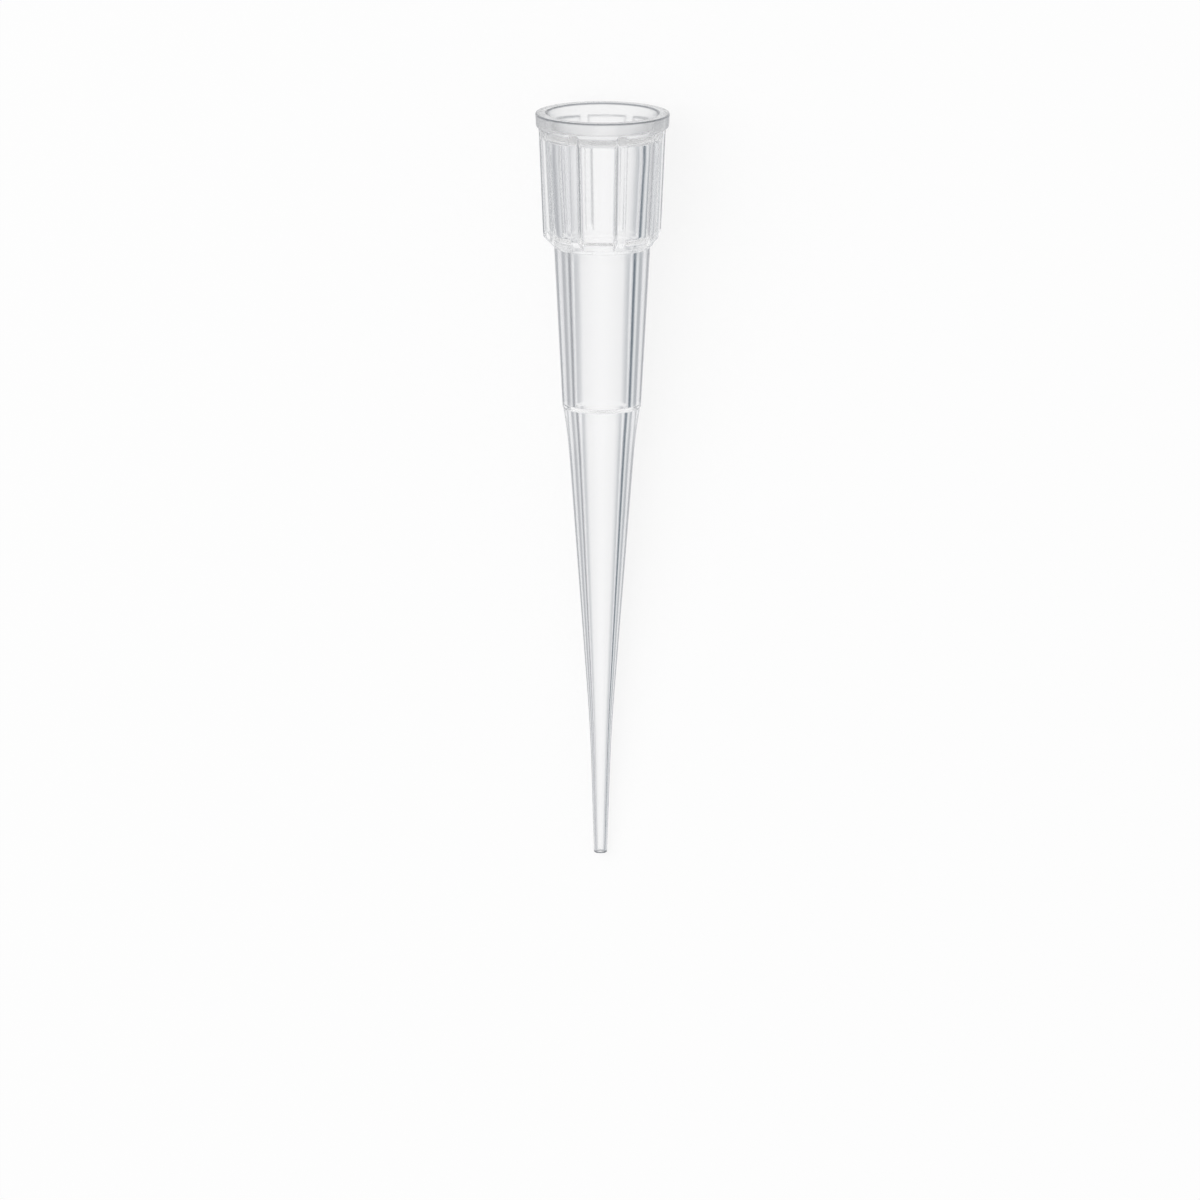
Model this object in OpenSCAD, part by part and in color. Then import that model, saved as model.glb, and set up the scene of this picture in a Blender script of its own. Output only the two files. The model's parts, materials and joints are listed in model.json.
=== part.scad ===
// Pipette tip of the short 10 microlitre class, moulded in one piece from clear
// polypropylene: a rim, a ribbed collar that grips the pipette's nozzle, and a
// tapered body that ends in a fine open point.
//
// The tip lies on its side, as it rests on a bench: mouth towards +Y, point
// towards -Y, +Z up, with the bottom centre of its bounding box at the origin.
// Outlines are lists of [radius, depth], with depth measured from the rim's top
// face along the axis towards the point.

/* [Overall] */
// Length from the rim's top face to the open point
tip_length = 31.5; // [27:0.1:37]
// Facets shown on a full circle; the solids are truly round
facets = 64; // [32:8:128]

/* [Rim] */
// Outer diameter of the rim at its top face
rim_d = 5.6; // [5:0.05:6.4]
// Wall between the rim's outer edge and the mouth, at the top face
rim_wall = 0.47; // [0.4:0.01:0.55]
// Height of the rim's upright outer side
rim_height = 0.55; // [0.4:0.05:0.8]
// How much smaller the rim's radius is at the foot of that side
rim_draft = 0.03; // [0:0.01:0.06]
// Height of the sloping underside of the rim
rim_underside = 0.17; // [0.1:0.01:0.25]
// Rounding of the rim's edges
rim_edge = 0.07; // [0.02:0.01:0.1]

/* [Socket for the pipette's nozzle] */
// Diameter of the straight land that seals on the nozzle
socket_d = 3.44; // [3:0.02:3.9]
// Length of the land
socket_length = 1.0; // [0.8:0.1:1.5]
// Height of the mouth's steep wall above the lead-in
mouth_height = 0.54; // [0.4:0.02:0.7]
// How much smaller the radius is at the foot of that wall
mouth_draft = 0.15; // [0.05:0.01:0.2]
// Height of the lead-in, from that wall down to the land
lead_in_height = 0.55; // [0.4:0.05:0.8]

/* [Collar] */
// Wall around the socket's land
collar_wall = 0.67; // [0.55:0.01:0.8]
// How much thicker the band under the rim is than that wall
band_thickness = 0.13; // [0.05:0.01:0.2]
// Height of the band's straight side
band_height = 0.28; // [0.2:0.02:0.5]
// Height of the small slope from the band to the collar's wall
band_slope = 0.08; // [0.04:0.01:0.15]
// Depth at which the collar's sloping end meets the body
collar_depth = 5.65; // [4.8:0.05:8]
// Step in radius from the body out to the collar's wall, above that slope
collar_step = 0.155; // [0.1:0.005:0.3]
// Angle between the collar's sloping end and the axis
shoulder_angle = 45; // [38:1:60]

/* [Ribs] */
// Number of ribs around the collar
rib_count = 8; // [6:1:10]
// Width of a rib
rib_width = 0.38; // [0.25:0.01:0.6]
// Height of a rib above the collar's wall, at the band
rib_top_height = 0.355; // [0.25:0.005:0.4]
// Height of a rib above the collar's wall, at the sloping end
rib_low_height = 0.38; // [0.2:0.01:0.45]

/* [Body] */
// Diameter of the body where it leaves the collar
body_top_d = 4.01; // [3.5:0.01:4.5]
// Wall of the body there
body_wall = 0.66; // [0.5:0.01:0.8]
// Length of the body from the collar to the ring, where it steps in
body_length = 6.75; // [5.5:0.05:8]
// Diameter of the body just above the ring
body_low_d = 3.28; // [2.9:0.01:3.6]
// Wall of the body where its bore starts to narrow, near the ring
waist_wall = 0.51; // [0.4:0.01:0.65]
// How far the radius steps in at the ring
ring_step = 0.035; // [0.02:0.005:0.08]
// Height of that step
ring_height = 0.07; // [0.04:0.01:0.15]

/* [Cone] */
// Length from the ring to where the lines of the flare and the cone cross
flare_length = 1.42; // [1:0.02:2]
// Diameter where they cross
flare_d = 2.8; // [2.5:0.01:3]
// Length of the curve on each side of that crossing
flare_curve = 1.3; // [0.3:0.1:2]
// Wall of the cone where it leaves the ring
cone_wall = 0.63; // [0.5:0.01:0.75]

/* [Point] */
// Length from the crossing of the lines of the cone and the point to the end
point_length = 5.2; // [3.5:0.05:6]
// Diameter where they cross
point_top_d = 0.87; // [0.75:0.01:1]
// Length of the curve on each side of that crossing
point_curve = 1.8; // [0.5:0.1:3]
// Wall there
point_wall = 0.135; // [0.1:0.005:0.2]
// Outer diameter of the open end
end_d = 0.55; // [0.46:0.01:0.7]
// Wall at the open end
end_wall = 0.11; // [0.09:0.005:0.16]
// Rounding of the end's outer edge
end_edge = 0.09; // [0.02:0.01:0.1]

/* [Bore] */
// How much smaller the collar's bore is, in radius, at its lower end
collar_bore_draft = 0.17; // [0.05:0.01:0.25]
// How far above the collar's end that lower end is
collar_bore_rise = 0.5; // [0.3:0.05:1]
// Height of the slope from the collar's bore to the body's bore
bore_shoulder = 0.22; // [0.1:0.02:0.4]
// How far above the ring the bore starts to narrow
waist_rise = 0.05; // [0:0.05:1]
// Height of the slope where it narrows
waist_slope = 0.1; // [0.05:0.05:1.2]

/* [Hidden] */
$fn = facets;

// Straight steps that a rounded edge and a long curve are drawn in
edge_steps = 4;
curve_steps = 8;
// How far the bore's cutting solid reaches past the faces it opens in
overlap = 0.2;

// Point at a distance from one point towards another, and no further than that
function toward(from, to, distance) =
    from + (to - from) * min(distance, norm(to - from)) / norm(to - from);

// Outline points of the curve that rounds corner b between a and c, from a
// distance of cut before the corner to the same distance after it
function rounded(a, b, c, cut, steps) =
    [for (i = [0 : steps]) let (t = i / steps)
        (1 - t) * (1 - t) * toward(b, a, cut) + 2 * t * (1 - t) * b + t * t * toward(b, c, cut)];

// Radii and depths that more than one corner uses
mouth_r = rim_d / 2 - rim_wall;
socket_depth = mouth_height + lead_in_height;
collar_top_r = socket_d / 2 + collar_wall;
collar_low_r = body_top_d / 2 + collar_step;
band_r = collar_top_r + band_thickness;
band_depth = rim_height + rim_underside + band_height;
collar_bore_depth = collar_depth - collar_bore_rise;
ring_depth = collar_depth + body_length;
waist_depth = ring_depth - waist_rise;
ring_r = body_low_d / 2 - ring_step;
point_depth = tip_length - point_length;

// Depth of the collar's sloping end at a radius
function shoulder_depth(radius) =
    collar_depth - (radius - body_top_d / 2) / tan(shoulder_angle);

// Outer corners, in order from the mouth to the open end
mouth_corner = [mouth_r, 0];
rim_corner = [rim_d / 2, 0];
rim_foot = [rim_d / 2 - rim_draft, rim_height];
band_top = [band_r, rim_height + rim_underside];
band_foot = [band_r, band_depth];
collar_top = [collar_top_r, band_depth + band_slope];
collar_low = [collar_low_r, shoulder_depth(collar_low_r)];
body_top = [body_top_d / 2, collar_depth];
ring_top = [body_low_d / 2, ring_depth];
ring_foot = [ring_r, ring_depth + ring_height];
flare_corner = [flare_d / 2, ring_depth + flare_length];
point_corner = [point_top_d / 2, point_depth];
end_corner = [end_d / 2, tip_length];
orifice_corner = [end_d / 2 - end_wall, tip_length];

// The two stretches of the outline that can touch the bench, then the whole
rim_outline = concat(
    rounded(mouth_corner, rim_corner, rim_foot, rim_edge, edge_steps),
    rounded(rim_corner, rim_foot, band_top, rim_edge / 2, edge_steps));
end_outline = rounded(point_corner, end_corner, orifice_corner, end_edge, edge_steps);
outer_outline = concat(
    [[0, 0]],
    rim_outline,
    [band_top, band_foot, collar_top, collar_low, body_top, ring_top, ring_foot],
    rounded(ring_foot, flare_corner, point_corner, flare_curve, curve_steps),
    rounded(flare_corner, point_corner, end_corner, point_curve, curve_steps),
    end_outline,
    [[0, tip_length]]);

// Bore corners, in order from the open end to the mouth, reaching past both
lead_in_corner = [mouth_r - mouth_draft, mouth_height];
bore_outline = concat(
    [[0, tip_length + overlap],
     [end_d / 2 - end_wall, tip_length + overlap],
     orifice_corner,
     [point_top_d / 2 - point_wall, point_depth],
     [ring_r - cone_wall, waist_depth + waist_slope],
     [body_low_d / 2 - waist_wall, waist_depth],
     [body_top_d / 2 - body_wall, collar_bore_depth + bore_shoulder],
     [socket_d / 2 - collar_bore_draft, collar_bore_depth],
     [socket_d / 2, socket_depth + socket_length],
     [socket_d / 2, socket_depth],
     lead_in_corner],
    rounded(lead_in_corner, mouth_corner, rim_corner, rim_edge, edge_steps),
    [[mouth_r + rim_edge, -overlap],
     [0, -overlap]]);

// Outline that every rib is cut to, rooted halfway into the collar's wall
rib_root = (socket_d / 2 + collar_low_r) / 2;
rib_top = [collar_top_r + rib_top_height, rim_height];
rib_low_r = collar_low_r + rib_low_height;
rib_low = [rib_low_r, shoulder_depth(rib_low_r)];
rib_outline = [
    [rib_root, rim_height / 2],
    [rib_top[0], rim_height / 2],
    rib_top,
    rib_low,
    collar_low,
    [rib_root, collar_low[1]]];

// The tip rests between two ribs, on the inner edge of each, so a rib reaches
// down less than its own radius
function rib_reach(corner) =
    let (along = sqrt(pow(corner[0], 2) - pow(rib_width / 2, 2)))
    [along * cos(180 / rib_count) + rib_width / 2 * sin(180 / rib_count), corner[1]];
wide_points = concat(rim_outline, [rib_reach(rib_top), rib_reach(rib_low)]);
rest_points = concat(wide_points, end_outline);

// Tilt of the axis when the tip rests on its wide end and on its point: the
// line under the tip passes below every outer corner
rest_tilt = min([for (e = end_outline)
    max([for (w = wide_points) atan2(w[0] - e[0], e[1] - w[1])])]);

// How far an outline point reaches, once the tip lies, below the axis at the
// open end, towards the mouth and towards the point
function below(p) = p[0] * cos(rest_tilt) - (tip_length - p[1]) * sin(rest_tilt);
function forward(p) = (tip_length - p[1]) * cos(rest_tilt) + p[0] * sin(rest_tilt);
function back(p) = (tip_length - p[1]) * cos(rest_tilt) - p[0] * sin(rest_tilt);
lift = max([for (p = rest_points) below(p)]);
middle = (max([for (p = rest_points) forward(p)]) + min([for (p = rest_points) back(p)])) / 2;

// Solid of revolution about the tip's axis, with the open end at the origin and
// the mouth up
module turned(outline) {
    rotate_extrude()
        polygon([for (p = outline) [p[0], tip_length - p[1]]]);
}

module ribs() {
    intersection() {
        turned(rib_outline);
        for (i = [0 : rib_count - 1])
            rotate(90 + (i + 0.5) * 360 / rib_count)
                translate([0, -rib_width / 2, 0])
                    cube([rib_top[0] + rib_low[0], rib_width, tip_length]);
    }
}

module tip() {
    color([0.9, 0.92, 0.93])
        translate([0, -middle, lift])
            rotate([rest_tilt - 90, 0, 0])
                difference() {
                    union() {
                        turned(outer_outline);
                        ribs();
                    }
                    turned(bore_outline);
                }
}

tip();
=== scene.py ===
"""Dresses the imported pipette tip: one clear moulded piece, with the rounded edges
and fillets that the CAD solid leaves out, on a pale floor under soft light.

Names that end in _MM are in millimetres; everything in Blender is in metres.
Depths run along the tip's axis, from the rim's top face towards the open point.
"""

import json
import math

import bpy
import numpy as np
from mathutils import Matrix, Vector


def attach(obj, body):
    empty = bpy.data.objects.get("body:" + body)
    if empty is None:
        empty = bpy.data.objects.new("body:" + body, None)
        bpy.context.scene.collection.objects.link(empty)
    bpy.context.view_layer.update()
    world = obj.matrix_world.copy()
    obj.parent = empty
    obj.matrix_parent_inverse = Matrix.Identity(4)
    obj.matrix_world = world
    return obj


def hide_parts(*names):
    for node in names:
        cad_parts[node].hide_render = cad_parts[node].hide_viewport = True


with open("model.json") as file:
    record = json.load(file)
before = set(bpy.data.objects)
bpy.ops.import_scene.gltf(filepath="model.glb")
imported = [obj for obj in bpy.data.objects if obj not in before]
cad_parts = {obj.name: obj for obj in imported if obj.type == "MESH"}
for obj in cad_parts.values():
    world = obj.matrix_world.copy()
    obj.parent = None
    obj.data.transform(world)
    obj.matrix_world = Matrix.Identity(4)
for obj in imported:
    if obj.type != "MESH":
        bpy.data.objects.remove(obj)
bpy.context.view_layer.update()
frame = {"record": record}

MM = 0.001

# --- The tip's place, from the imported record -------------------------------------

record = frame["record"]
socket = next(m for m in record["mounts"] if m["name"] == "nozzle_socket")
AXIS = Vector(socket["axis"]).normalized()  # towards the mouth
SIDE = Vector((1.0, 0.0, 0.0))
ABOVE = SIDE.cross(AXIS)  # square to the axis, away from the floor

# --- Driving dimensions, as in the CAD source ------------------------------------

TIP_LENGTH_MM = 31.5
RIM_R_MM, RIM_FOOT_R_MM, MOUTH_R_MM = 2.8, 2.77, 2.33
RIM_HEIGHT_MM, RIM_UNDERSIDE_MM = 0.55, 0.17
BAND_R_MM, BAND_DEPTH_MM, BAND_SLOPE_MM = 2.52, 1.0, 0.08
COLLAR_TOP_R_MM, COLLAR_LOW_R_MM, COLLAR_DEPTH_MM = 2.39, 2.16, 5.65
RIB_COUNT, RIB_WIDTH_MM = 8, 0.38
RIB_TOP_R_MM, RIB_LOW_R_MM = 2.745, 2.54
BODY_TOP_R_MM, BODY_LOW_R_MM, BODY_LENGTH_MM = 2.005, 1.64, 6.75
RING_R_MM, RING_HEIGHT_MM = 1.605, 0.07
FLARE_R_MM, FLARE_LENGTH_MM, FLARE_CURVE_MM = 1.4, 1.42, 1.3
POINT_R_MM, POINT_LENGTH_MM, POINT_CURVE_MM = 0.435, 5.2, 1.8
END_R_MM, ORIFICE_R_MM = 0.275, 0.165
SOCKET_R_MM, SOCKET_LENGTH_MM = 1.72, 1.0
MOUTH_HEIGHT_MM, LEAD_IN_MM, LEAD_IN_R_MM = 0.54, 0.55, 2.18
COLLAR_BORE_R_MM, COLLAR_BORE_DEPTH_MM, SHOULDER_MM = 1.55, 5.15, 0.22
BODY_BORE_R_MM, WAIST_R_MM, WAIST_RISE_MM, WAIST_SLOPE_MM = 1.345, 1.13, 0.05, 0.1
CONE_BORE_R_MM, POINT_BORE_R_MM = 0.975, 0.3

RING_DEPTH_MM = COLLAR_DEPTH_MM + BODY_LENGTH_MM
SOCKET_DEPTH_MM = MOUTH_HEIGHT_MM + LEAD_IN_MM
SHOULDER_TOP_MM = COLLAR_DEPTH_MM - (COLLAR_LOW_R_MM - BODY_TOP_R_MM)
POINT_DEPTH_MM = TIP_LENGTH_MM - POINT_LENGTH_MM

socket_middle = Vector(socket["pos_m"])
socket_middle_depth = (SOCKET_DEPTH_MM + SOCKET_LENGTH_MM / 2) * MM


def on_axis(depth_mm):
    """The point of the tip's axis at a depth."""
    return socket_middle + AXIS * (socket_middle_depth - depth_mm * MM)


# --- Camera ----------------------------------------------------------------------

CAMERA_DISTANCE = 0.70
CAMERA_LENS, CAMERA_SENSOR = 502.0, 36.0  # mm, as Blender has them
CAMERA_CLIP = 0.01, 20.0  # nearest and furthest that it sees
CAMERA_RISE = math.radians(11.7)  # towards the mouth, from square to the axis
CAMERA_TURN = math.radians(4.5)  # about the axis, towards +X
CAMERA_ROLL = math.radians(0.16)
AIM_DEPTH_MM, AIM_SIDE_MM = 20.7, -0.05  # where it looks, to the right of the axis


def make_camera():
    data = bpy.data.cameras.new("camera")
    data.sensor_width = CAMERA_SENSOR
    data.lens = CAMERA_LENS
    data.clip_start, data.clip_end = CAMERA_CLIP
    cam = bpy.data.objects.new("camera", data)
    bpy.context.scene.collection.objects.link(cam)
    across = ABOVE * math.cos(CAMERA_TURN) + SIDE * math.sin(CAMERA_TURN)
    back = across * math.cos(CAMERA_RISE) + AXIS * math.sin(CAMERA_RISE)
    right = AXIS.cross(back).normalized()
    up = back.cross(right)
    turned_right = right * math.cos(CAMERA_ROLL) + up * math.sin(CAMERA_ROLL)
    turned_up = back.cross(turned_right)
    target = on_axis(AIM_DEPTH_MM) + right * (AIM_SIDE_MM * MM)
    spin = Matrix((turned_right, turned_up, back)).transposed()
    place = Matrix.Translation(target + back * CAMERA_DISTANCE)
    cam.matrix_world = place @ spin.to_4x4()
    bpy.context.scene.camera = cam


make_camera()

# --- Outline of the wall, as one closed loop -------------------------------------

SAME_DEPTH_MM = 1e-6
MOST_CUT = 0.49  # share of an edge that a corner's curve takes at most
RIB_LOW_DEPTH_MM = SHOULDER_TOP_MM - (RIB_LOW_R_MM - COLLAR_LOW_R_MM)
RIB_END_SPAN_MM = 0.2  # how far along a rib its end's fine rows go
RIB_ENDS_MM = [
    (RIM_HEIGHT_MM, BAND_DEPTH_MM + RIB_END_SPAN_MM),
    (RIB_LOW_DEPTH_MM - RIB_END_SPAN_MM, SHOULDER_TOP_MM),
]
FINE_ROW_MM, LONG_ROW_MM = 0.04, 0.6  # longest rows of faces there and elsewhere


def toward(a, b, distance):
    """The point at a distance from a towards b, and a little short of halfway at
    the furthest."""
    step = b - a
    length = np.linalg.norm(step)
    return a + step * min(distance, MOST_CUT * length) / length


def rounded_loop(corners):
    """Points of a closed outline whose corners are (radius, depth, cut, steps):
    each corner becomes a curve from cut before it to cut after it."""
    points = []
    places = [np.array(c[:2], float) for c in corners]
    for i, (_, _, cut, steps) in enumerate(corners):
        before, here, after = places[i - 1], places[i], places[(i + 1) % len(places)]
        start, end = toward(here, before, cut), toward(here, after, cut)
        for t in np.linspace(0.0, 1.0, steps + 1):
            points.append((1 - t) ** 2 * start + 2 * t * (1 - t) * here + t * t * end)
    return points


def filled(points):
    """The closed outline with its long straight stretches cut shorter, and much
    shorter where the ribs begin and end."""
    full = []

    def add(a, b):
        radius, depth = (a + b) / 2
        at_rib_end = radius > BODY_TOP_R_MM and any(
            low < depth < high for low, high in RIB_ENDS_MM)
        if np.linalg.norm(b - a) <= (FINE_ROW_MM if at_rib_end else LONG_ROW_MM):
            full.append(a)
        else:
            add(a, (a + b) / 2)
            add((a + b) / 2, b)

    for a, b in zip(points, points[1:] + points[:1]):
        add(a, b)
    return np.array(full)


# Radius and depth of each corner, how far before and after it its curve runs, and
# the steps in that curve
CORNERS = [
    # outside, from the mouth to the open end
    (MOUTH_R_MM, 0.0, 0.07, 6),
    (RIM_R_MM, 0.0, 0.07, 6),
    (RIM_FOOT_R_MM, RIM_HEIGHT_MM, 0.04, 4),
    (BAND_R_MM, RIM_HEIGHT_MM + RIM_UNDERSIDE_MM, 0.05, 4),
    (BAND_R_MM, BAND_DEPTH_MM, 0.035, 4),
    (COLLAR_TOP_R_MM, BAND_DEPTH_MM + BAND_SLOPE_MM, 0.05, 4),
    (COLLAR_LOW_R_MM, SHOULDER_TOP_MM, 0.06, 5),
    (BODY_TOP_R_MM, COLLAR_DEPTH_MM, 0.05, 5),
    (BODY_LOW_R_MM, RING_DEPTH_MM, 0.03, 4),
    (RING_R_MM, RING_DEPTH_MM + RING_HEIGHT_MM, 0.03, 4),
    (FLARE_R_MM, RING_DEPTH_MM + FLARE_LENGTH_MM, FLARE_CURVE_MM, 16),
    (POINT_R_MM, POINT_DEPTH_MM, POINT_CURVE_MM, 16),
    (END_R_MM, TIP_LENGTH_MM, 0.09, 8),
    # bore, from the open end to the mouth
    (ORIFICE_R_MM, TIP_LENGTH_MM, 0.02, 3),
    (POINT_BORE_R_MM, POINT_DEPTH_MM, 1.6, 12),
    (CONE_BORE_R_MM, RING_DEPTH_MM - WAIST_RISE_MM + WAIST_SLOPE_MM, 0.03, 5),
    (WAIST_R_MM, RING_DEPTH_MM - WAIST_RISE_MM, 0.03, 5),
    (BODY_BORE_R_MM, COLLAR_BORE_DEPTH_MM + SHOULDER_MM, 0.08, 5),
    (COLLAR_BORE_R_MM, COLLAR_BORE_DEPTH_MM, 0.08, 5),
    (SOCKET_R_MM, SOCKET_DEPTH_MM + SOCKET_LENGTH_MM, 0.3, 3),
    (SOCKET_R_MM, SOCKET_DEPTH_MM, 0.08, 5),
    (LEAD_IN_R_MM, MOUTH_HEIGHT_MM, 0.06, 5),
]

# --- Cross-section with its ribs -------------------------------------------------

RIB_ROUND_MM = 0.05  # rounding of a rib's edges and of its root
RIB_DRAFT_MM = 0.015  # how much wider each side of a rib is at its root
RIB_ROUND_SHARE = 0.14  # share of a rib's height that each rounding takes
RIB_FOOT_ROUND_MM = 0.03  # rounding between a rib's outer side and its sloping end
RIB_PITCH = 2 * math.pi / RIB_COUNT
MOST_RIB_SHARE = 0.8  # share of the pitch that a rib's columns take at most
# Steps from a rib's middle to its edge, in each rounding, in its side, and in the
# wall from one rib to the next
TOP_STEPS, ROUND_STEPS, FLANK_STEPS, WALL_STEPS = 3, 4, 2, 11


def half_rib():
    """Offsets to the side of a rib's middle, with the share of the rib's height
    that the surface stands at there, from the middle out to the collar's wall."""
    half = RIB_WIDTH_MM / 2
    quarter = np.linspace(0, math.pi / 2, ROUND_STEPS + 1)
    across = list(np.linspace(0, half - RIB_ROUND_MM, TOP_STEPS + 1)[:-1])
    share = [1.0] * len(across)
    across += list(half - RIB_ROUND_MM + RIB_ROUND_MM * np.sin(quarter))
    share += list(1 - RIB_ROUND_SHARE * (1 - np.cos(quarter)))
    steps = np.linspace(0, 1, FLANK_STEPS + 1)[1:]
    across += list(half + RIB_DRAFT_MM * steps)
    share += list(1 - RIB_ROUND_SHARE - (1 - 2 * RIB_ROUND_SHARE) * steps)
    across += list(half + RIB_DRAFT_MM + RIB_ROUND_MM * (1 - np.cos(quarter[1:])))
    share += list(RIB_ROUND_SHARE * (1 - np.sin(quarter[1:])))
    return np.array(across), np.array(share)


def sections():
    """For every column round the tip: the angle of the rib it belongs to, its
    offset to the side of that rib's middle, the share of the rib's height that
    it stands at, and how far it is from there to the next rib, from 0 to 1."""
    across, share = half_rib()
    columns = []
    for i in range(RIB_COUNT):
        middle = (i + 0.5) * RIB_PITCH
        for k in range(len(across) - 1, 0, -1):
            columns.append((middle, -across[k], share[k], 0.0))
        for k in range(len(across)):
            columns.append((middle, across[k], share[k], 0.0))
        for k in range(1, WALL_STEPS):
            columns.append((middle, across[-1], 0.0, k / WALL_STEPS))
    return columns


def rib_radius(depth):
    """Radius of a rib's outer side: a straight line, then the slope of the collar's
    end, with a rounding where the two meet."""
    share = (depth - RIM_HEIGHT_MM) / (RIB_LOW_DEPTH_MM - RIM_HEIGHT_MM)
    line = RIB_TOP_R_MM + (RIB_LOW_R_MM - RIB_TOP_R_MM) * share
    slope = COLLAR_LOW_R_MM + (SHOULDER_TOP_MM - depth)
    return (line + slope - math.sqrt((line - slope) ** 2 + RIB_FOOT_ROUND_MM**2)) / 2


def ring_of_points(radius, depth, columns, outside):
    """Offsets to the side and upwards of one ring of the wall's surface. Where the
    ring is too narrow for the ribs' columns, they draw together."""
    edge = max(c[1] for c in columns)
    scale = min(1.0, radius * math.sin(RIB_PITCH / 2) * MOST_RIB_SHARE / edge)
    high = radius
    if outside and RIM_HEIGHT_MM < depth < COLLAR_DEPTH_MM:
        high = max(radius, rib_radius(depth))
    ring = []
    for middle, across, share, wall in columns:
        across *= scale
        start = math.asin(edge * scale / radius)
        if wall:
            angle = middle + start + (RIB_PITCH - 2 * start) * wall
            ring.append((radius * math.sin(angle), -radius * math.cos(angle)))
            continue
        low_out = math.sqrt(radius**2 - across**2)
        high_out = math.sqrt(high**2 - across**2)
        out = low_out + (high_out - low_out) * share
        ring.append((
            out * math.sin(middle) + across * math.cos(middle),
            -out * math.cos(middle) + across * math.sin(middle),
        ))
    return ring


def smooth_normals(places, faces):
    """Vertex normals that lean to the larger faces, so that flat stretches stay
    flat beside their rounded edges."""
    quads = places[faces]
    across = np.cross(quads[:, 2] - quads[:, 0], quads[:, 3] - quads[:, 1])
    normals = np.zeros_like(places)
    for k in range(4):
        np.add.at(normals, faces[:, k], across)
    return normals / np.linalg.norm(normals, axis=1)[:, None]


def make_tip():
    outline = filled(rounded_loop(CORNERS))
    columns = sections()
    at_open_end = outline[:, 1] > TIP_LENGTH_MM - SAME_DEPTH_MM
    last_outside = int(np.argmax(at_open_end))
    places = []
    for k, (radius, depth) in enumerate(outline):
        origin = on_axis(depth)
        for side, up in ring_of_points(radius, depth, columns, k <= last_outside):
            places.append(origin + SIDE * (side * MM) + ABOVE * (up * MM))
    places = np.array([tuple(p) for p in places])
    rows, cols = len(outline), len(columns)
    index = np.arange(rows * cols).reshape(rows, cols)
    down, along = np.roll(index, -1, axis=0), np.roll(index, -1, axis=1)
    both = np.roll(down, -1, axis=1)
    faces = np.stack([index, along, both, down], axis=-1).reshape(-1, 4)
    quads = places[faces]
    turn = np.cross(quads[:, 2] - quads[:, 0], quads[:, 3] - quads[:, 1])
    if ((quads.mean(1) - places.mean(0)) * turn).sum() < 0:  # they face inwards
        faces = faces[:, ::-1]
    mesh = bpy.data.meshes.new("tip_clear")
    mesh.from_pydata(places.tolist(), [], faces.tolist())
    mesh.validate()
    mesh.polygons.foreach_set("use_smooth", [True] * len(mesh.polygons))
    mesh.normals_split_custom_set_from_vertices(smooth_normals(places, faces).tolist())
    mesh.update()
    piece = bpy.data.objects.new("tip_clear", mesh)
    bpy.context.scene.collection.objects.link(piece)
    return piece


# --- Materials -------------------------------------------------------------------


def node(tree, kind, **values):
    made = tree.nodes.new(kind)
    for name, value in values.items():
        setattr(made, name, value)
    return made


def math_node(tree, operation, *values):
    made = node(tree, "ShaderNodeMath", operation=operation)
    for place, value in enumerate(values):
        if isinstance(value, (int, float)):
            made.inputs[place].default_value = value
        else:
            tree.links.new(value, made.inputs[place])
    return made.outputs[0]


def vector_node(tree, operation, first, second=None):
    made = node(tree, "ShaderNodeVectorMath", operation=operation)
    tree.links.new(first, made.inputs[0])
    if second is not None:
        made.inputs[1].default_value = second
    return made


def squared(tree, value):
    return math_node(tree, "POWER", math_node(tree, "ABSOLUTE", value), 2.0)


def colour_ramp(tree, factor, stops):
    """Colours by a factor from 0 to 1, eased from one stop to the next."""
    made = node(tree, "ShaderNodeValToRGB")
    band = made.color_ramp
    band.interpolation = "EASE"
    while len(band.elements) < len(stops):
        band.elements.new(0.5)
    for element, (place, colour) in zip(band.elements, stops):
        element.position = place
        element.color = (*colour, 1)
    tree.links.new(factor, made.inputs[0])
    return made.outputs[0]


def scaled_noise(tree, place, scale, detail):
    """Noise with its own scale along each axis, in cycles a metre."""
    stretched = vector_node(tree, "MULTIPLY", place, scale).outputs[0]
    made = node(tree, "ShaderNodeTexNoise")
    made.inputs["Scale"].default_value = 1.0
    made.inputs["Detail"].default_value = detail
    tree.links.new(stretched, made.inputs["Vector"])
    return made.outputs[0]


def remapped(tree, value, before, after, **kind):
    """The value, moved from one range to another, and kept inside that."""
    made = node(tree, "ShaderNodeMapRange", **kind)
    for ends, span in (("From Min", "From Max"), before), (("To Min", "To Max"), after):
        for end, number in zip(ends, span):
            made.inputs[end].default_value = number
    tree.links.new(value, made.inputs["Value"])
    return made.outputs[0]


def faded(tree, length, span_mm):
    """1 up to a length of the span's first end, 0 from its last on, and smooth
    between them."""
    span = [end * MM for end in span_mm]
    return remapped(tree, length, span, (1.0, 0.0), interpolation_type="SMOOTHSTEP")


IOR = 1.49  # polypropylene
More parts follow.
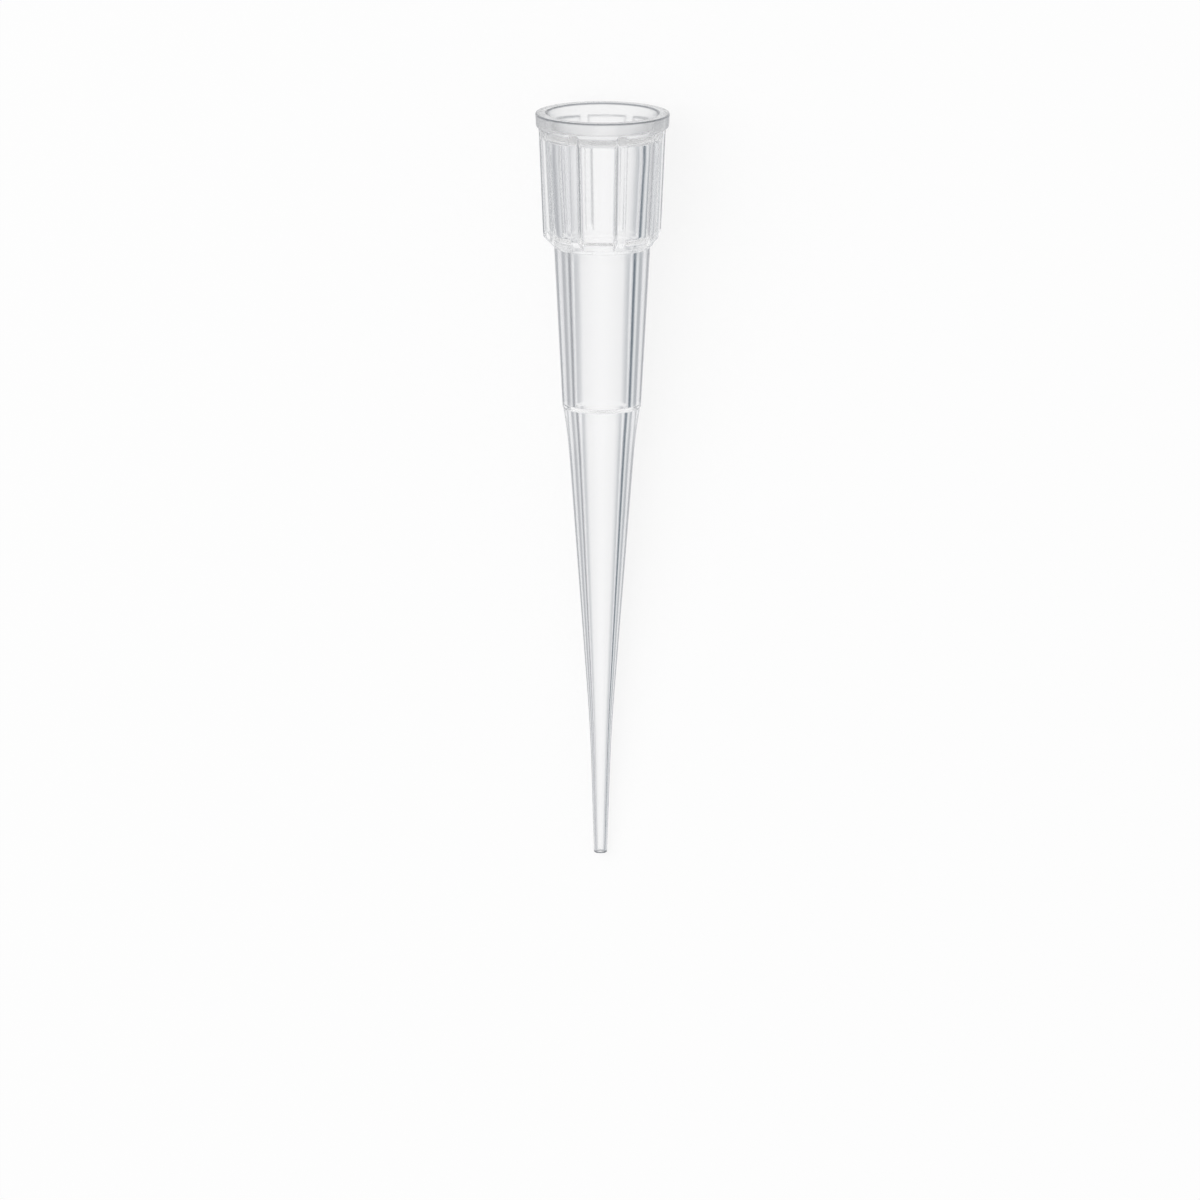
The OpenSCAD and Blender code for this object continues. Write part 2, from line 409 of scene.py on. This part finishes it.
# Painted shade: base colour greyer by how nearly edge on a face is seen, which is 1
# less the cosine
EDGE_ON_SHADE_COLOURS = [
    (0.0, (0.985, 0.985, 0.987)), (0.45, (0.975, 0.975, 0.98)),
    (0.62, (0.9, 0.905, 0.915)), (0.8, (0.62, 0.63, 0.65)), (1.0, (0.35, 0.36, 0.38)),
]
EDGE_ON_BLEND = 0.5
EDGE_SHADE_COLOUR = (0.16, 0.17, 0.19, 1)  # painted shade: dark base colour along the rim's, the mouth's and the point's edges
EDGE_SHADE_MM = 0.035, 0.1  # distances from the edge between which that fades
SHADED_EDGES_MM = (RIM_R_MM, 0.0), (MOUTH_R_MM, 0.0), (END_R_MM, TIP_LENGTH_MM)
HAZE = 0.06, 0.1  # roughness of the clear wall, least and most
FLOW_CYCLES, FLOW_DETAIL = (900, 90, 900), 3.0  # a metre, of the noise it follows
FLOW_RANGE = 0.3, 0.7  # part of that noise that is used
RIM_HAZE, END_HAZE = 0.12, 0.06  # how much rougher the rim and the collar's end are
RIM_HAZE_MM = 0.9, 1.15  # depths between which that fades
END_HAZE_MM = 0.25, 0.5  # distances from the collar's end between which it fades
MOUTH_HAZE = 0.15  # how much rougher still the mouth's wall and its lead-in are
MOUTH_HAZE_R_MM = 2.35, 2.38  # radii between which that fades
MOUTH_HAZE_MM = 1.0, 1.15  # depths between which that fades
MARKS_CYCLES, MARKS_DETAIL = (1500, 200, 1500), 4.0  # a metre, of the flow marks
MARKS_STRENGTH, MARKS_HEIGHT = 0.1, 0.02 * MM


def clear_polypropylene():
    """Natural polypropylene: clear with a slight haze, with painted shade that greys it
    where it is seen edge on, faint flow marks along the tip from the moulding, a rim
    and band that are a little more matt, a mouth more so, and painted dark shade
    along the edges of the rim, the mouth and the point."""
    mat = bpy.data.materials.new("clear_polypropylene")
    mat.use_nodes = True
    tree = mat.node_tree
    tree.nodes.clear()
    link = tree.links.new
    out = node(tree, "ShaderNodeOutputMaterial")
    plastic = node(tree, "ShaderNodeBsdfPrincipled")
    place = node(tree, "ShaderNodeTexCoord").outputs["Object"]

    from_rim = vector_node(tree, "SUBTRACT", place, on_axis(0.0)).outputs["Vector"]
    depth = vector_node(tree, "DOT_PRODUCT", from_rim, -AXIS).outputs["Value"]
    across = vector_node(tree, "CROSS_PRODUCT", from_rim, AXIS).outputs["Vector"]
    radius = vector_node(tree, "LENGTH", across).outputs["Value"]
    # Painted shade: a mask, 1 near the rim's outer edge, the mouth's edge and the open
    # end, for dark painted lines there
    edge_shade = None
    for edge_mm, edge_depth_mm in SHADED_EDGES_MM:
        off = squared(tree, math_node(tree, "SUBTRACT", radius, edge_mm * MM))
        down = squared(tree, math_node(tree, "SUBTRACT", depth, edge_depth_mm * MM))
        gap = math_node(tree, "POWER", math_node(tree, "ADD", off, down), 0.5)
        near = faded(tree, gap, EDGE_SHADE_MM)
        edge_shade = near if edge_shade is None else math_node(tree, "MAXIMUM", edge_shade, near)

    # Painted shade: the base colour greys where a face is seen edge on, and goes dark
    # along the shaded edges
    edge_on = node(tree, "ShaderNodeLayerWeight")
    edge_on.inputs["Blend"].default_value = EDGE_ON_BLEND
    clear = colour_ramp(tree, edge_on.outputs["Facing"], EDGE_ON_SHADE_COLOURS)
    colour = node(tree, "ShaderNodeMixRGB")
    link(edge_shade, colour.inputs["Fac"])
    link(clear, colour.inputs["Color1"])
    colour.inputs["Color2"].default_value = EDGE_SHADE_COLOUR
    link(colour.outputs[0], plastic.inputs["Base Color"])

    flow = scaled_noise(tree, place, FLOW_CYCLES, FLOW_DETAIL)
    rough = remapped(tree, flow, FLOW_RANGE, HAZE)
    rim = faded(tree, depth, RIM_HAZE_MM)
    from_end = math_node(tree, "SUBTRACT", depth, COLLAR_DEPTH_MM * MM)
    end = faded(tree, math_node(tree, "ABSOLUTE", from_end), END_HAZE_MM)
    mouth = math_node(tree, "MULTIPLY", faded(tree, radius, MOUTH_HAZE_R_MM),
                      faded(tree, depth, MOUTH_HAZE_MM))
    for part, haze in (rim, RIM_HAZE), (end, END_HAZE), (mouth, MOUTH_HAZE):
        rough = math_node(tree, "ADD", rough, math_node(tree, "MULTIPLY", part, haze))
    link(rough, plastic.inputs["Roughness"])
    marks = node(tree, "ShaderNodeBump")
    marks.inputs["Strength"].default_value = MARKS_STRENGTH
    marks.inputs["Distance"].default_value = MARKS_HEIGHT
    height = scaled_noise(tree, place, MARKS_CYCLES, MARKS_DETAIL)
    link(height, marks.inputs["Height"])
    link(marks.outputs[0], plastic.inputs["Normal"])
    plastic.inputs["IOR"].default_value = IOR
    plastic.inputs["Transmission Weight"].default_value = 1.0
    link(plastic.outputs[0], out.inputs["Surface"])
    return mat


# --- Floor, world and lamps ------------------------------------------------------

# What is seen in the tip, as a bright-field set: colours by the angle round the
# tip's axis from straight down, in degrees, towards -X below 0 and towards +X
# above it. A bright table lies under it between dimmer sides, and a screen hangs
# over it. This is as a ray sees it that the tip's walls turned once.
SEEN_IN_WALLS = [
    (-180, (0.9, 0.9, 0.91)), (-110, (0.85, 0.86, 0.87)), (-80, (0.72, 0.73, 0.75)),
    (-60, (0.34, 0.35, 0.37)), (-47, (0.78, 0.79, 0.8)), (-32, (0.5, 0.51, 0.53)),
    (-23, (0.5, 0.51, 0.53)), (-12, (0.84, 0.84, 0.85)), (0, (0.94, 0.94, 0.95)),
    (12, (0.9, 0.9, 0.91)), (23, (0.49, 0.51, 0.53)), (32, (0.49, 0.51, 0.53)),
    (47, (0.82, 0.83, 0.84)), (60, (0.12, 0.155, 0.19)), (80, (0.6, 0.63, 0.66)),
    (110, (0.85, 0.86, 0.87)), (180, (0.9, 0.9, 0.91)),
]
# The same, for a ray that came straight through
SEEN_THROUGH = [
    (-180, (0.95, 0.95, 0.955)), (-42, (1.0, 1.0, 1.0)), (-29, (1.0, 1.0, 1.0)),
    (-23, (0.57, 0.58, 0.6)), (-9, (0.92, 0.92, 0.92)), (0, (0.97, 0.97, 0.97)),
    (9, (0.92, 0.92, 0.92)), (23, (0.55, 0.565, 0.585)), (29, (1.0, 1.0, 1.0)),
    (42, (1.0, 1.0, 1.0)), (180, (0.95, 0.95, 0.955)),
]
# The same, for one that they turned twice or three times. After more, all is white.
SEEN_BY_TWO_TURNS = [
    (-180, (0.45, 0.46, 0.47)), (-60, (0.38, 0.39, 0.41)), (0, (0.28, 0.295, 0.32)),
    (60, (0.15, 0.175, 0.2)), (180, (0.45, 0.46, 0.47)),
]
# How white the set is instead, by how far a ray leans along the tip, from -1
# towards the point to 1 towards the mouth
BRIGHT_ENDS = [
    (-0.58, 0.0), (-0.53, 1.0), (-0.46, 1.0), (-0.38, 0.0),
    (0.06, 0.0), (0.16, 1.0), (0.36, 1.0), (0.46, 0.0),
]
# The same, for rays that the walls turned twice or three times
BRIGHT_ENDS_BY_TURNS = [(-0.46, 1.0), (-0.38, 0.0), (0.06, 0.0), (0.16, 1.0)]
# A ray that they turned once, twice or four times has a glossy depth above these
ONCE, TWICE, FOUR_TIMES = 0.5, 1.5, 3.5
ROOM = 0.6  # the world's grey for every other ray, such as the floor's own
FLOOR_HALF = 3.0
FLOOR_COLOUR, FLOOR_GLOW = 0.9, 0.85  # the glow is its share of white to the camera


def rays(tree):
    """1 for a ray from the camera, for any by way of the tip, for one that came
    straight through it, for one that its walls turned twice or more often, and
    for one that they turned four times or more often."""
    path = node(tree, "ShaderNodeLightPath")
    passed, turned = path.outputs["Is Transmission Ray"], path.outputs["Glossy Depth"]
    by_tip = math_node(tree, "MAXIMUM", passed, path.outputs["Is Glossy Ray"])
    unmirrored = math_node(tree, "LESS_THAN", turned, ONCE)
    through = math_node(tree, "MULTIPLY", passed, unmirrored)
    twice, many = (
        math_node(tree, "MULTIPLY", by_tip,
                  math_node(tree, "GREATER_THAN", turned, turns))
        for turns in (TWICE, FOUR_TIMES))
    return path.outputs["Is Camera Ray"], by_tip, through, twice, many


def mixed(tree, factor, first, second):
    made = node(tree, "ShaderNodeMixShader")
    tree.links.new(factor, made.inputs[0])
    tree.links.new(first, made.inputs[1])
    tree.links.new(second, made.inputs[2])
    return made.outputs[0]


def background(tree, colour):
    made = node(tree, "ShaderNodeBackground")
    if isinstance(colour, tuple):
        made.inputs["Color"].default_value = (*colour, 1)
    else:
        tree.links.new(colour, made.inputs["Color"])
    return made.outputs[0]


def make_world():
    world = bpy.data.worlds.new("studio")
    bpy.context.scene.world = world
    world.use_nodes = True
    tree = world.node_tree
    tree.nodes.clear()
    out = node(tree, "ShaderNodeOutputWorld")
    place = node(tree, "ShaderNodeTexCoord")
    parts = node(tree, "ShaderNodeSeparateXYZ")
    tree.links.new(place.outputs["Generated"], parts.inputs[0])
    down = math_node(tree, "MULTIPLY", parts.outputs["Z"], -1.0)
    turn = math_node(tree, "ARCTAN2", parts.outputs["X"], down)
    turn = math_node(tree, "ADD", turn, CAMERA_TURN)
    turn = math_node(tree, "DIVIDE", turn, 2 * math.pi)
    turn = math_node(tree, "ADD", turn, 0.5)
    walls, straight, folded = (
        background(tree, colour_ramp(
            tree, turn, [(0.5 + degrees / 360, colour) for degrees, colour in stops]))
        for stops in (SEEN_IN_WALLS, SEEN_THROUGH, SEEN_BY_TWO_TURNS))
    camera, by_tip, through, twice, many = rays(tree)
    white = background(tree, (1.0, 1.0, 1.0))
    lean = math_node(tree, "ADD", parts.outputs["Y"], 1.0)
    lean = math_node(tree, "MULTIPLY", lean, 0.5)
    ends, turned_ends = (
        colour_ramp(tree, lean, [(0.5 + y / 2, (v, v, v)) for y, v in stops])
        for stops in (BRIGHT_ENDS, BRIGHT_ENDS_BY_TURNS))
    folded = mixed(tree, turned_ends, folded, white)
    surface = mixed(tree, twice, walls, folded)
    surface = mixed(tree, through, surface, straight)
    surface = mixed(tree, ends, surface, white)
    surface = mixed(tree, many, surface, white)
    surface = mixed(tree, by_tip, background(tree, (ROOM, ROOM, ROOM)), surface)
    surface = mixed(tree, camera, surface, white)
    tree.links.new(surface, out.inputs["Surface"])


def pale_floor():
    """White to the camera, apart from the tip's soft shadow. What is seen in the
    tip is the world's below it."""
    mat = bpy.data.materials.new("pale_floor")
    mat.use_nodes = True
    mat.cycles.emission_sampling = "NONE"
    tree = mat.node_tree
    tree.nodes.clear()
    out = node(tree, "ShaderNodeOutputMaterial")
    matt = node(tree, "ShaderNodeBsdfDiffuse")
    matt.inputs["Color"].default_value = (FLOOR_COLOUR, FLOOR_COLOUR, FLOOR_COLOUR, 1)
    white = node(tree, "ShaderNodeEmission")
    clear = node(tree, "ShaderNodeBsdfTransparent")
    camera, by_tip, _, _, _ = rays(tree)
    share = math_node(tree, "MULTIPLY", camera, FLOOR_GLOW)
    surface = mixed(tree, share, matt.outputs[0], white.outputs[0])
    surface = mixed(tree, by_tip, surface, clear.outputs[0])
    tree.links.new(surface, out.inputs["Surface"])
    return mat


def make_floor():
    mesh = bpy.data.meshes.new("floor")
    signs = (-1, -1), (1, -1), (1, 1), (-1, 1)
    corners = [(x * FLOOR_HALF, y * FLOOR_HALF, 0) for x, y in signs]
    mesh.from_pydata(corners, [], [(0, 1, 2, 3)])
    floor = bpy.data.objects.new("floor", mesh)
    bpy.context.scene.collection.objects.link(floor)
    floor.data.materials.append(pale_floor())


LAMP_PLACE = Vector((-0.5, 0.3, 0.9))
LAMP_SIZE, LAMP_POWER = 1.2, 7.5


def make_lamp():
    """A square area lamp that faces the origin and casts the tip's shadow. It
    isn't seen in the tip itself."""
    data = bpy.data.lights.new("key", "AREA")
    data.shape = "SQUARE"
    data.size = LAMP_SIZE
    data.energy = LAMP_POWER
    lamp = bpy.data.objects.new("key", data)
    bpy.context.scene.collection.objects.link(lamp)
    lamp.visible_glossy = lamp.visible_transmission = False
    lamp.location = LAMP_PLACE
    lamp.rotation_mode = "QUATERNION"
    lamp.rotation_quaternion = LAMP_PLACE.to_track_quat("Z", "Y")


# --- The scene -------------------------------------------------------------------

BOUNCES = 128  # enough for light that the wall guides along

tip = make_tip()
tip.data.materials.append(clear_polypropylene())
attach(tip, "root")
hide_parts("tip")

make_floor()
make_world()
make_lamp()

scene = bpy.context.scene
scene.view_settings.view_transform = "Standard"
scene.cycles.max_bounces = BOUNCES
scene.cycles.transmission_bounces = BOUNCES
scene.cycles.glossy_bounces = BOUNCES
